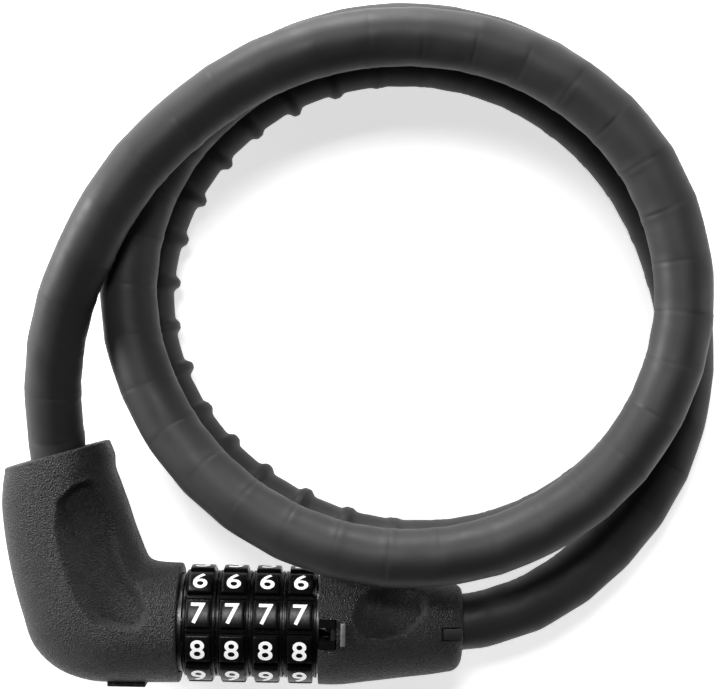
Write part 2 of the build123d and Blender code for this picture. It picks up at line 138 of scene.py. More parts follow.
# Screws, driven from the back: x, y and the height of the head's underside, where the shell over
# the head's whole width is thick enough to sink it
ELBOW_SCREWS = [(-18.0, -8.6, -8.6), (-37.0, 2.4, -7.4), (-18.4, 25.9, -5.0), (-43.0, 21.0, -4.2)]
HEAD_SCREWS = [(53.0, -9.3, -4.5), (53.0, 9.3, -4.5)]
ELBOW_SCREW_TIP, HEAD_SCREW_TIP = 6.0, 5.3
SCREW_HEAD_R, SCREW_R = 2.4, 1.2
WELL_R, WELL_WALL, WELL_OUT = 2.7, 0.45, -30.0

# Dials: the ring's section as (x, radius), with the stations that the pads raise
DIAL_START, DIAL_STEP = 0.78, 8.8
RING_BORE = [(8.65, 13.2), (7.4, 13.1), (7.4, 11.6), (0.6, 11.6), (0.6, 13.1), (0.15, 13.2)]
RING_SIDE = [(0.15, 13.85), (0.3, 14.05), (0.75, 14.05), (0.85, 13.75), (1.05, 13.7)]
PAD_SECTION = [(1.2, 13.7), (1.2, 15.1), (1.3, 15.35), (1.55, 15.47), (2.1, 15.5), (3.2, 15.5),
               (4.4, 15.5)]
SIDE_R = 14.06  # what is farther out than this is raised with a pad
GAP_R, BAR_R = 13.75, 14.35
FIRST_PAD, PAD_EIGHT = 17.4, 8  # the pad with the 8 is this many degrees under the reading line
DIGIT_HEIGHT, DIGIT_WIDTH, DIGIT_R = 5.4, 3.75, 15.5
DIGIT_THICK, DIGIT_PROUD = 0.12, 0.04
DIGIT_BOLD, DIGIT_STRIP = 0.11, 0.45
ONE_WIDTH = 0.62  # of the other numbers' width

# Springs: ends along the dial axis, then mean radius, wire radius and turns
RESET_COIL_X, RESET_COIL_Y, RESET_COIL = (36.55, 41.15), (-8.9, 8.9), (0.9, 0.2, 3)
EJECTOR_COIL_X, EJECTOR_COIL_Y, EJECTOR_COIL = (-12.1, 2.9), (0,), (3.2, 0.5, 6)

# Camera and light, metres
CAMERA = (0.0330, 0.05909, 0.450)
CAMERA_TURN, CAMERA_LENS, SENSOR = 1.07, 81.13, 36.0


# ---------------------------------------------------------------- camera, light and floor

def add_object(name, data):
    made = bpy.data.objects.new(name, data)
    bpy.context.scene.collection.objects.link(made)
    return made


def add_camera():
    camera = add_object("camera", bpy.data.cameras.new("camera"))
    camera.location = CAMERA
    camera.rotation_euler = (0, 0, math.radians(CAMERA_TURN))
    camera.data.lens = CAMERA_LENS
    camera.data.sensor_width = SENSOR
    camera.data.clip_start = 0.01
    bpy.context.scene.camera = camera


def add_light(name, place, size, watts):
    data = bpy.data.lights.new(name, "AREA")
    data.shape = "RECTANGLE"
    data.size, data.size_y = size
    data.energy = watts
    lamp = add_object(name, data)
    lamp.location = place
    aim = Vector((0.035, 0.055, 0.02)) - lamp.location
    lamp.rotation_euler = aim.to_track_quat("-Z", "Y").to_euler()


def add_lights():
    add_light("softbox_over", (-0.06, 0.42, 0.85), (0.32, 0.18), 4.6)
    add_light("softbox_left", (-0.78, 0.24, 0.19), (0.24, 0.2), 12.0)
    add_light("strip_top", (-0.12, 0.85, 0.19), (0.5, 0.16), 12.0)
    add_light("strip_right", (0.75, 0.10, 0.22), (0.2, 0.4), 1.2)
    world = bpy.data.worlds.new("studio")
    world.use_nodes = True
    background = world.node_tree.nodes["Background"]
    background.inputs["Color"].default_value = (0.93, 0.95, 1.0, 1)
    background.inputs["Strength"].default_value = 0.02
    bpy.context.scene.world = world
    bpy.context.scene.view_settings.view_transform = "Standard"


# ---------------------------------------------------------------- materials

def node(tree, kind, inputs=(), **settings):
    """A shader node with its settings, and its inputs as values or as other nodes' outputs."""
    made = tree.nodes.new("ShaderNode" + kind)
    for key, value in settings.items():
        setattr(made, key, value)
    for key, value in dict(inputs).items():
        if isinstance(value, bpy.types.NodeSocket):
            tree.links.new(value, made.inputs[key])
        else:
            made.inputs[key].default_value = value
    return made


def new_material(name, **values):
    """A material and its tree and shader, with the shader's own sockets set."""
    made = bpy.data.materials.new(name)
    made.use_nodes = True
    tree = made.node_tree
    shader = tree.nodes["Principled BSDF"]
    for key, value in values.items():
        shader.inputs[key.replace("_", " ")].default_value = value
    return made, tree, shader


def noise(tree, scale, detail=2.0, rough=0.5, stretch=None):
    place = node(tree, "TexCoord").outputs["Object"]
    if stretch:
        place = node(tree, "Mapping", {"Vector": place, "Scale": stretch}).outputs["Vector"]
    inputs = {"Vector": place, "Scale": scale, "Detail": detail, "Roughness": rough}
    return node(tree, "TexNoise", inputs).outputs["Fac"]


def between(tree, factor, low, high, first, last):
    """A value that goes from first to last as the factor goes from low to high."""
    inputs = {"Value": factor, "From Min": low, "From Max": high, "To Min": first, "To Max": last}
    return node(tree, "MapRange", inputs).outputs["Result"]


def two_colours(tree, factor, dark, light):
    ramp = node(tree, "ValToRGB", {"Fac": factor})
    ramp.color_ramp.elements[0].position, ramp.color_ramp.elements[0].color = 0.32, (*dark, 1)
    ramp.color_ramp.elements[1].position, ramp.color_ramp.elements[1].color = 0.68, (*light, 1)
    return ramp.outputs["Color"]


def bump(tree, shader, height, strength, distance):
    made = node(tree, "Bump", {"Height": height, "Strength": strength, "Distance": distance})
    tree.links.new(made.outputs["Normal"], shader.inputs["Normal"])


def mottled(name, dark, light, rough, cloud=60, grain=1500, grain_depth=0.00005, strength=0.3,
            stretch=None, **values):
    """Cloudy colour, uneven gloss and a fine grain, which suits every plain finish here."""
    made, tree, shader = new_material(name, **values)
    clouds = noise(tree, cloud, 3.0)
    fine = noise(tree, grain, 3.0, 0.6, stretch)
    tree.links.new(two_colours(tree, clouds, dark, light), shader.inputs["Base Color"])
    tree.links.new(between(tree, fine, 0.3, 0.7, *rough), shader.inputs["Roughness"])
    bump(tree, shader, fine, strength, grain_depth)
    return made


def grained_plastic():
    """Spark-eroded moulding grain: hard little grains that catch the light one by one, with light specks
    painted into the colour as glints.
    """
    made, tree, shader = new_material("grained_plastic", Specular_IOR_Level=0.22)
    grains = noise(tree, 2300, 2.5, 0.65)
    place = node(tree, "TexCoord").outputs["Object"]
    pits = node(tree, "TexVoronoi", {"Vector": place, "Scale": 2600.0})
    mix = node(tree, "Math", {0: grains, 1: pits.outputs["Distance"]}, operation="ADD").outputs[0]
    # The base colour's light specks are painted glints, standing in for light caught by single grains;
    # the dark between them is the grain's own tone.
    tree.links.new(two_colours(tree, noise(tree, 2400, 2.0, 0.8), (0.0040, 0.0040, 0.0042),
                               (0.0440, 0.0440, 0.0445)), shader.inputs["Base Color"])
    tree.links.new(between(tree, grains, 0.35, 0.65, 0.34, 0.6), shader.inputs["Roughness"])
    bump(tree, shader, mix, 1.0, 0.0004)
    return made


def vinyl():
    """Satin vinyl, drawn tight and scuffed here and there."""
    made, tree, shader = new_material("satin_vinyl", Specular_IOR_Level=0.2)
    clouds = noise(tree, 45, 4.0)
    skin = noise(tree, 1100, 3.0, 0.6)
    tree.links.new(two_colours(tree, clouds, (0.0260, 0.0260, 0.0263), (0.0330, 0.0330, 0.0333)),
                   shader.inputs["Base Color"])
    tree.links.new(between(tree, noise(tree, 160, 4.0, 0.6), 0.3, 0.7, 0.44, 0.58),
                   shader.inputs["Roughness"])
    bump(tree, shader, skin, 0.22, 0.00006)
    return made


def make_materials():
    steel = {"Metallic": 1.0}
    made = {
        "shell_plastic": grained_plastic(),
        "cable_cover": vinyl(),
        "dial_plastic": mottled("dial_plastic", (0.003, 0.003, 0.0032), (0.005, 0.005, 0.0053),
                                (0.24, 0.34), grain=700, strength=0.05, Specular_IOR_Level=0.2),
        # The printed white glows with a painted light of its own, which makes it brighter than the lamps
        # do.
        "mark_white": mottled("printed_white_painted_glow", (0.78, 0.78, 0.77), (0.86, 0.86, 0.85), (0.45, 0.6),
                              cloud=900, strength=0.1, Emission_Color=(1, 1, 1, 1),
                              Emission_Strength=0.4),
        "mark_grey": mottled("pale_inlay", (0.12, 0.12, 0.12), (0.2, 0.2, 0.2), (0.35, 0.5), cloud=700),
        "clip_grey": mottled("dark_inlay", (0.008, 0.008, 0.008), (0.016, 0.016, 0.016), (0.4, 0.6),
                             grain=2300, grain_depth=0.00015, strength=0.6),
        "slider_plastic": mottled("slider_plastic", (0.006, 0.006, 0.006), (0.012, 0.012, 0.012),
                                  (0.3, 0.45)),
        "seal_rubber": mottled("seal_rubber", (0.010, 0.010, 0.010), (0.018, 0.018, 0.018),
                               (0.6, 0.8)),
        "bolt_steel": mottled("nickel_plate", (0.50, 0.49, 0.46), (0.62, 0.61, 0.58), (0.18, 0.32),
                              stretch=(0.1, 1.0, 1.0), **steel),
        "plated_steel": mottled("zinc_plate", (0.40, 0.41, 0.42), (0.58, 0.58, 0.56), (0.28, 0.45),
                                cloud=300, **steel),
        "spring_steel": mottled("spring_wire", (0.30, 0.30, 0.32), (0.45, 0.45, 0.47), (0.25, 0.4),
                                **steel),
        "armour_steel": mottled("armour_steel", (0.34, 0.34, 0.35), (0.5, 0.5, 0.5), (0.3, 0.5),
                                **steel),
        "rope_steel": mottled("galvanised_wire", (0.42, 0.43, 0.44), (0.58, 0.58, 0.58), (0.35, 0.5),
                              **steel),
        "screw_steel": mottled("blackened_steel", (0.05, 0.05, 0.052), (0.11, 0.11, 0.11), (0.3, 0.45),
                               **steel),
    }
    return made


# ---------------------------------------------------------------- mesh helpers

def tube_faces(rows, columns, closed=False, base=0):
    """Faces of a tube whose points are stored ring by ring, the first of them at number base. It
    has flat ends unless it closes on itself."""
    faces = []
    for i in range(rows if closed else rows - 1):
        for j in range(columns):
            a, b = i * columns, (i + 1) % rows * columns
            k = (j + 1) % columns
            faces.append((a + j, a + k, b + k, b + j))
    if not closed:
        faces += [tuple(range(columns)), tuple(range((rows - 1) * columns, rows * columns))]
    return [tuple(base + i for i in face) for face in faces]


def add_mesh(name, points, faces, material, sharp=35.0):
    """A smooth-shaded closed mesh with its faces turned outwards, from points in metres."""
    mesh = bpy.data.meshes.new(name)
    mesh.from_pydata([tuple(p) for p in points], [], faces)
    work = bmesh.new()
    work.from_mesh(mesh)
    bmesh.ops.recalc_face_normals(work, faces=work.faces)
    work.to_mesh(mesh)
    work.free()
    mesh.materials.append(material)
    finish_shading(mesh, sharp)
    return add_object(name, mesh)


def finish_shading(mesh, sharp=35.0):
    mesh.shade_smooth()
    mesh.set_sharp_from_angle(angle=math.radians(sharp))


def in_frame(points):
    """From millimetres in the lock's own frame to metres in the part's."""
    return (np.asarray(points, float) - ORIGIN) * MM


def loop_solid(name, loops, material, closed=False, sharp=35.0):
    """A solid whose section is a closed loop of points, with flat ends unless it closes on itself."""
    loops = np.asarray(loops, float)
    faces = tube_faces(*loops.shape[:2], closed)
    return add_mesh(name, in_frame(loops.reshape(-1, 3)), faces, material, sharp)


def through(rows, steps):
    """Rows at even steps on a smooth curve through the given ones, whose first four numbers at
    most are lengths that the steps go by."""
    rows = np.array(rows, float)
    chords = np.linalg.norm(np.diff(rows[:, :4], axis=0), axis=1)
    t = np.concatenate([[0], np.cumsum(chords)])
    slope = np.gradient(rows, t, axis=0)
    at = np.linspace(0, t[-1], steps)
    i = np.clip(np.searchsorted(t, at, side="right") - 1, 0, len(t) - 2)
    h = (t[i + 1] - t[i])[:, None]
    u = (at - t[i])[:, None] / h
    start = (1 + 2 * u) * (1 - u) ** 2 * rows[i] + u * (1 - u) ** 2 * h * slope[i]
    return start + u * u * (3 - 2 * u) * rows[i + 1] + u * u * (u - 1) * h * slope[i + 1]


def smooth(value):
    value = np.clip(value, 0, 1)
    return value * value * (3 - 2 * value)


def dish_depth(outline, x, y, depth):
    """How deep a dish is at each x, y: its side falls over its own width all round the outline."""
    ring = through(outline + outline[:1], 160)[:-1]
    gap = np.hypot(x[..., None] - ring[:, 0], y[..., None] - ring[:, 1])
    nearest = gap.argmin(axis=-1)
    away, width = gap.min(axis=-1), ring[nearest, 2]
    after = np.roll(ring, -1, axis=0)
    crossing = (ring[:, 1] > y[..., None]) != (after[:, 1] > y[..., None])
    run = np.where(after[:, 1] == ring[:, 1], 1e-9, after[:, 1] - ring[:, 1])
    meets = ring[:, 0] + (y[..., None] - ring[:, 1]) * (after[:, 0] - ring[:, 0]) / run
    inside = (crossing & (x[..., None] < meets)).sum(axis=-1) % 2 == 1
    return depth * smooth(np.where(inside, away, -away) / width + 0.12)


def evaluated_mesh(piece):
    """The piece's mesh with its modifiers, or its outlines, worked out."""
    bpy.context.view_layer.update()
    graph = bpy.context.evaluated_depsgraph_get()
    return bpy.data.meshes.new_from_object(piece.evaluated_get(graph))


def cut(piece, cutters):
    """Takes the cutters out of the piece, for good."""
    for cutter in cutters:
        change = piece.modifiers.new("cut", "BOOLEAN")
        change.operation, change.solver, change.object = "DIFFERENCE", "EXACT", cutter
    cut_mesh = evaluated_mesh(piece)
    cut_mesh.name = piece.name
    piece.modifiers.clear()
    piece.data = cut_mesh
    for cutter in cutters:
        bpy.data.objects.remove(cutter)
    finish_shading(cut_mesh)


def rounded_block(name, x, y, z, radius, material):
    """A block between the two x, y and z given, with round edges."""
    work = bmesh.new()
    bmesh.ops.create_cube(work, size=1.0)
    for vert in work.verts:
        vert.co = [sum(pair) / 2 + vert.co[k] * (pair[1] - pair[0]) for k, pair in enumerate((x, y, z))]
        vert.co = in_frame(vert.co)
    bmesh.ops.bevel(work, geom=work.edges[:], offset=radius * MM, segments=3, affect="EDGES",
                    profile=0.5)
    mesh = bpy.data.meshes.new(name)
    work.to_mesh(mesh)
    work.free()
    mesh.materials.append(material)
    finish_shading(mesh)
    return add_object(name, mesh)


def turned(name, profile, material, place, lobes=()):
    """A turned piece standing along Z at an x, y: a (radius, z) profile from its lower end face to
    its upper one. The profile points listed in lobes take a six-lobed star instead of a circle."""
    columns = 48
    points = []
    for k, (radius, z) in enumerate(profile):
        for angle in np.arange(columns) * 2 * math.pi / columns:
            r = radius * (1 + 0.16 * math.cos(6 * angle)) if k in lobes else radius
            points.append((place[0] + r * math.cos(angle), place[1] + r * math.sin(angle), z))
    return add_mesh(name, in_frame(points), tube_faces(len(profile), columns), material)


def joined(name, pieces):
    """One object of several, in the first one's place."""
    with bpy.context.temp_override(active_object=pieces[0], selected_editable_objects=pieces,
                                   selected_objects=pieces):
        bpy.ops.object.join()
    pieces[0].name = pieces[0].data.name = name
    return pieces[0]


# ---------------------------------------------------------------- cable

def route_line():
    """The cable's centre line as points close together, read from its spline."""
    turns = []
    for i, (radius, height) in enumerate(COIL):
        angle = math.radians(TURN_START - i * TURN_STEP)
        turns.append((COIL_CENTRE[0] + radius * math.cos(angle),
                      COIL_CENTRE[1] + radius * math.sin(angle), height))
    points = np.array(FROM_ELBOW + turns + INTO_HEAD) - ROUTE_ORIGIN
    curve = bpy.data.curves.new("cable_route", "CURVE")
    curve.dimensions = "3D"
    curve.resolution_u = 24
    spline = curve.splines.new("NURBS")
    spline.points.add(len(points) - 1)
    for control, point in zip(spline.points, points):
        control.co = (*point, 1)
    spline.order_u = 3
    spline.use_endpoint_u = True
    holder = add_object("cable_route", curve)
    mesh = bpy.data.meshes.new_from_object(holder)
    line = np.array([v.co for v in mesh.vertices])
    bpy.data.objects.remove(holder)
    return line


def distances(line):
    return np.concatenate([[0], np.cumsum(np.linalg.norm(np.diff(line, axis=0), axis=1))])


def point_at(line, at):
    length = distances(line)
    return np.column_stack([np.interp(at, length, line[:, k]) for k in range(3)])


def frames_at(line, at):
    """Centre, way along, way in towards the coil's middle, and way across at each distance."""
    step = 0.0015
    centre = point_at(line, at)
    along = point_at(line, at + step) - point_at(line, at - step)
    along /= np.linalg.norm(along, axis=1)[:, None]
    middle = np.array([*COIL_CENTRE, 0]) - ROUTE_ORIGIN
    inward = middle - centre
    inward[:, 2] = 0
    inward -= (inward * along).sum(axis=1)[:, None] * along
    inward /= np.linalg.norm(inward, axis=1)[:, None]
    return centre, along, inward, np.cross(along, inward)


def winding(centre):
    """How many steps of the coil each point has gone, from its start."""
    middle = np.array(COIL_CENTRE) - ROUTE_ORIGIN[:2]
    turn = np.arctan2(centre[:, 1] - middle[1], centre[:, 0] - middle[0]) % (2 * math.pi)
    return (math.radians(TURN_START) - np.unwrap(turn)) / math.radians(TURN_STEP)


def spokes(inward, across, psi):
    """The ways out from the cable's middle at each angle psi, for each place along it."""
    return (inward[:, None, :] * np.cos(psi)[None, :, None]
            + across[:, None, :] * np.sin(psi)[None, :, None])


def link_starts(length):
    count = int(length // LINK_PITCH)
    spare = (length - count * LINK_PITCH) / 2
    return spare + np.arange(count + 1) * LINK_PITCH


def cable_sleeve(line, material):
    """The vinyl sleeve: straight over each link, creased between links and folded on the inside."""
    around = 44
    length = distances(line)[-1]
    joints = link_starts(length)
    at = [0.0]
    for a, b in zip(joints, joints[1:]):
        at += list(a + (b - a) * np.array(LINK_STATIONS))
    at = np.array(at + [joints[-1], length])
    centre, along, inward, across = frames_at(line, at)
    link = np.clip(np.searchsorted(joints, at, side="right") - 1, 0, len(joints) - 2)
    t = np.clip((at - joints[link]) / LINK_PITCH, 0, 1)
    ends = point_at(line, joints)
    chord = ends[link] * (1 - t[:, None]) + ends[link + 1] * t[:, None]
    held = ((at > joints[0]) & (at < joints[-1]))[:, None]
    centre = np.where(held, CHORD_SHARE * chord + (1 - CHORD_SHARE) * centre, centre)

    random = np.random.default_rng(7)
    own = random.uniform(0.75, 1.25, len(joints))
    lean = random.uniform(-0.5, 0.5, len(joints))
    turns = winding(centre)
    folded = smooth(turns - FOLDED[0]) * smooth((FOLDED[1] - turns) / 1.2)
    nearest = np.clip(np.rint((at - joints[0]) / LINK_PITCH).astype(int), 0, len(joints) - 1)
    past = at - joints[nearest] - FOLD_SHIFT * lean[nearest]
    fold = (FOLD_HEIGHT + HARD_FOLD_HEIGHT * folded) * own[nearest]
    rib = np.exp(-np.abs(past / FOLD_WIDTH) ** 3)
    crease = np.exp(-((at - joints[nearest]) / CREASE_WIDTH) ** 2)
    psi = np.arange(around) * 2 * math.pi / around
    inner = np.clip(np.cos(psi[None, :] - 0.5 * lean[nearest][:, None]), 0, 1) ** 1.3
    outer = np.clip(-np.cos(psi), 0, 1)
    wave = np.sin(3 * psi[None, :] + 5 * lean[link][:, None] + 2 * math.pi * t[:, None])
    radius = CABLE_R - SKIN_UNDER + SKIN_BELLY * np.sin(math.pi * t)[:, None] + SKIN_WOBBLE * wave
    radius = radius - CREASE_DEPTH * crease[:, None] * (1 + outer[None, :])
    radius = radius + fold[:, None] * (rib[:, None] - 0.12) * inner
    points = centre[:, None, :] + radius[:, :, None] * spokes(inward, across, psi)
    sleeve = add_mesh("cable_cover", points.reshape(-1, 3), tube_faces(len(at), around), material, 60)
    return sleeve, np.repeat(at, around)


def armour_links(line, material):
    """The steel links that are threaded on the rope, with rolled edges."""
    joints = link_starts(distances(line)[-1])
    middles = (joints[:-1] + joints[1:]) / 2
    centre, along, inward, across = frames_at(line, middles)
    half, edge = LINK_L / 2, 0.0004
    profile = [(-half, LINK_BORE + edge), (-half, LINK_R - edge), (-half + edge, LINK_R),
               (half - edge, LINK_R), (half, LINK_R - edge), (half, LINK_BORE + edge),
               (half - edge, LINK_BORE), (-half + edge, LINK_BORE)]
    around = 24
    points, faces = [], []
    for c, a, n, b in zip(centre, along, inward, across):
        base = len(points)
        for k in range(around):
            angle = 2 * math.pi * k / around
            spoke = n * math.cos(angle) + b * math.sin(angle)
            points += [c + a * shift + spoke * radius for shift, radius in profile]
        faces += tube_faces(around, len(profile), True, base)
    made = add_mesh("cable_links", points, faces, material)
    return made, np.repeat(middles, around * len(profile))


def rope_strands(line, material):
    """Six strands laid round a seventh, from the elbow's ferrule to the bolt's socket."""
    start, end = line[0], line[-1]
    out = (start - line[1]) / np.linalg.norm(start - line[1])
    into = np.array([-1.0, 0.0, 0.0])
    whole = np.vstack([start + out * ROPE_TAIL, line, end + into * SOCKET_TAIL])
    length = distances(whole)[-1]
    at = np.linspace(0, length, int(length / 0.003))
    centre, along, inward, across = frames_at(whole, at)
    around = 8
    points, faces = [], []
    for strand in range(7):
        lay = 0.0 if strand == 6 else STRAND_LAY
        phase = 2 * math.pi * (at / STRAND_PITCH + strand / 6)
        middle = centre + lay * (inward * np.cos(phase)[:, None] + across * np.sin(phase)[:, None])
        base = len(points)
        psi = np.arange(around) * 2 * math.pi / around
        tube = middle[:, None, :] + STRAND_R * spokes(inward, across, psi)
        points += list(tube.reshape(-1, 3))
        faces += tube_faces(len(at), around, base=base)
    made = add_mesh("cable_rope", points, faces, material, 80)
    return made, np.tile(np.repeat(at - ROPE_TAIL, around), 7)


def bend_with_slide(piece):
    """Bakes the piece's placing into its mesh, where it stays; nothing here moves either end with the
    lock's body or the sliding head."""
    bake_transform(piece)


def build_cable(materials):
    line = route_line()
    sleeve, sleeve_at = cable_sleeve(line, materials["cable_cover"])
    links, links_at = armour_links(line, materials["armour_steel"])
    rope, rope_at = rope_strands(line, materials["rope_steel"])
    parts = ((sleeve, sleeve_at, "cable_sleeve", "cable_cover"),
             (links, links_at, "armour_links", "armour_steel"),
             (rope, rope_at, "wire_rope", "rope_steel"))
    for piece, at, cad_node, slot in parts:
        bend_with_slide(piece)
        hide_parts(cad_node)


# ---------------------------------------------------------------- elbow and head shells

def half_angles(front):
    """Angles across one half of a shell, close together where the two halves meet."""
    close = [0.0, 0.008, 0.016, 0.026]
    inner = list(np.linspace(0.045, math.pi - 0.045, 117))
    angles = np.array(close + inner + [math.pi - a for a in reversed(close)])
    return angles if front else angles - math.pi


def seam_inset(angles):
    """The halves fall away a little where they meet, which leaves a fine groove."""
    from_seam = np.minimum(angles % math.pi, -angles % math.pi)
    return SEAM_DEPTH * (1 - smooth(from_seam / SEAM_ANGLE))


def elbow_half(name, front, material):
    sections = through(ELBOW, 150)
    inner, outer = sections[:, 0:2], sections[:, 2:4]
    middle, reach = (inner + outer) / 2, (inner - outer) / 2
    half_width = np.linalg.norm(reach, axis=1)
    way = reach / half_width[:, None]
    end_way = np.array(ELBOW_WAY)
    loops = []
    angles = half_angles(front)
    for angle, inset in zip(angles, seam_inset(angles)):
        c, s = math.cos(angle), math.sin(angle)

        def at(k, less, ahead=0.0):
            """The point at this angle on section k, this much inside the surface."""
            power = sections[k, 5]
            r = (abs(c) ** power + abs(s) ** power) ** (-1 / power)
            flat = middle[k] + way[k] * (half_width[k] - less) * r * c
            return np.array([*flat, (sections[k, 4] - less) * r * s]) + end_way * ahead

        last = len(sections) - 1
        rim = [at(0, ELBOW_HEM * (1 - math.sin(a)) + inset) + np.array([ELBOW_HEM * math.cos(a), 0, 0])
               for a in np.linspace(0, math.pi / 2, 4)]
        outside = [at(k, inset) for k in range(1, last + 1)]
        turn = [at(last, ELBOW_LIP * (1 - math.cos(a)) + inset, ELBOW_LIP * math.sin(a))
                for a in np.linspace(0, math.pi / 2, 6)[1:]]
        mouth = np.array([*middle[last], 0]) + end_way * ELBOW_LIP
        spoke = np.array([way[last][0] * c, way[last][1] * c, s])
        face_edge = turn[-1]
        bore_edge = mouth + spoke * (ELBOW_BORE_R + 0.4)
        face = [face_edge + (bore_edge - face_edge) * f for f in (0.25, 0.6, 1.0)]
        bore = [mouth + spoke * (ELBOW_BORE_R + more) - end_way * deep
                for more, deep in ((0.1, 0.15), (0.0, 0.6), (0.0, ELBOW_BORE_L))]
        inside_from = int(last * 0.9)
        inside = [at(k, WALL) for k in range(inside_from, 0, -3)]
        collar = [np.array([x, RIM_BORE_R * c, RIM_BORE_R * s]) for x in (-3.0, -0.5)]
        loops.append(rim + outside + turn + face + bore + inside + collar)
    loops = np.array(loops)
    if front:
        loops[:, :, 2] -= dish_depth(ELBOW_DISH, loops[:, :, 0], loops[:, :, 1], ELBOW_DISH_DEPTH)
    return loop_solid(name, loops, material)


def mouth_ring(name, centre, way, material):
    """The rubber ring between the cable and the mouth of the elbow, just inside its end face."""
    across = np.cross(way, (0, 0, 1))
    section = [(7.6, -3.4), (7.6, -0.9), (7.75, -0.6), (8.05, -0.6), (8.2, -0.9), (8.2, -3.4)]
    loops = []
    for angle in np.linspace(0, 2 * math.pi, 72, endpoint=False):
        spoke = across * math.cos(angle) + np.array([0, 0, math.sin(angle)])
        loops.append([centre + spoke * r + way * ahead for r, ahead in section])
    return loop_solid(name, loops, material, closed=True)


def head_half(name, front, material):
    profile = through(HEAD, 120)
    corner_x, corner_r = profile[-1]
    long_r = HEAD_END - corner_x
    loops = []
    angles = half_angles(front)
    for angle, inset in zip(angles, seam_inset(angles)):
        c, s = math.cos(angle), math.sin(angle)
        short_r = corner_r - HEAD_BORE_R - 0.5 - HEAD_BORE_Y * c
        rim = HEAD_RIM[:1] + [(x, r - inset) for x, r in HEAD_RIM[1:]]
        outside = [(x, r - inset) for x, r in profile]
        corner = [(corner_x + long_r * math.sin(a), corner_r - inset - short_r * (1 - math.cos(a)))
                  for a in np.linspace(0, math.pi / 2, 12)[1:]]
        loop = [(x, r * c, r * s) for x, r in rim + outside + corner]
        for x, extra in ((HEAD_END, 0.15), (HEAD_END - 0.3, 0.0), (HEAD_BORE_FROM, 0.0)):
            loop.append((x, HEAD_BORE_Y + (HEAD_BORE_R + extra) * c, (HEAD_BORE_R + extra) * s))
        loop += [(x, r * c, r * s) for x, r in HEAD_INSIDE]
        loops.append(loop)
    loops = np.array(loops)
    if front:
        x, radius = loops[:, :, 0], np.hypot(loops[:, :, 1], loops[:, :, 2])
        dished = (radius > HEAD_SKIN_R) & (x > HEAD_DISH_SPAN[0]) & (x < HEAD_DISH_SPAN[1])
        depth = np.where(dished, dish_depth(HEAD_DISH, x, loops[:, :, 1], HEAD_DISH_DEPTH), 0)
        loops[:, :, 1:] *= (1 - depth / np.maximum(radius, 1))[:, :, None]
    return loop_solid(name, loops, material)


def block_cutter(x, half_width, z):
    return rounded_block("cutter", x, (-half_width, half_width), z, 0.35, None)


def wells(name, places, shell, material):
    """The bored recess over each screw, as a thin cup whose rim follows the shell's surface."""
    surface = BVHTree.FromPolygons([v.co for v in shell.data.vertices],
                                   [tuple(face.vertices) for face in shell.data.polygons])
    cups = []
    for x, y, seat in places:
        inside = WELL_R - WELL_WALL
        profile = [(WELL_R, seat + 0.6), (WELL_R, WELL_OUT), (inside, WELL_OUT), (inside, seat + 0.05)]
        cup = turned(name, profile, material, (x, y))
        for vert in cup.data.vertices:
            hit = surface.ray_cast(Vector((vert.co.x, vert.co.y, -1.0)), Vector((0, 0, 1)))[0]
            vert.co.z = max(vert.co.z, hit.z + 0.0001)
        cups.append(cup)
    return joined(name, cups)


def screws(name, places, tip_z, material):
    """Pan-head screws with a six-lobed recess."""
    made = []
    for x, y, seat in places:
        r, top = SCREW_HEAD_R - 0.15, seat - 1.9
        profile = [(0.95, top + 1.1), (1.05, top + 0.05), (1.3, top), (r - 0.55, top + 0.1),
                   (r - 0.12, top + 0.5), (r, top + 1.0), (r, seat - 0.1), (r - 0.15, seat),
                   (SCREW_R, seat), (SCREW_R, tip_z - 0.8), (0.3, tip_z)]
        made.append(turned(name, profile, material, (x, y), lobes=(0, 1)))
    return joined(name, made)


def well_cutters(places):
    radius = WELL_R - 0.02
    return [turned("cutter", [(radius, WELL_OUT), (radius, seat + 0.3)], None, (x, y))
            for x, y, seat in places]


def build_elbow(materials):
    shell = materials["shell_plastic"]
    front = elbow_half("elbow_front", True, shell)
    back = elbow_half("elbow_back", False, shell)
    cups = wells("elbow_screw_wells", ELBOW_SCREWS, back, shell)
    cut(back, well_cutters(ELBOW_SCREWS))
    x, y, half = SIDE_PAD
    front = joined("elbow_front", [front, rounded_block("pad", x, y, (0.05, half), 0.25, shell)])
    back = joined("elbow_back", [back, rounded_block("pad", x, y, (-half, -0.05), 0.25, shell)])
    last, way = ELBOW[-1], np.array(ELBOW_WAY)
    mouth = np.array([(last[0] + last[2]) / 2, (last[1] + last[3]) / 2, 0]) + way * ELBOW_LIP
    seal = mouth_ring("elbow_seal", mouth, way, materials["seal_rubber"])
    fixings = screws("elbow_fixings", ELBOW_SCREWS, ELBOW_SCREW_TIP, materials["screw_steel"])
    for piece, slot in ((front, "shell_plastic"), (back, "shell_plastic"), (cups, "shell_plastic"),
                        (fixings, "screw_steel"), (seal, "seal_rubber")):
        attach(piece, "lock_body")
    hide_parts("elbow_front_shell")
    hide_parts("elbow_back_shell")
    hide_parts("elbow_screws")
    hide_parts("elbow_cable_seal")


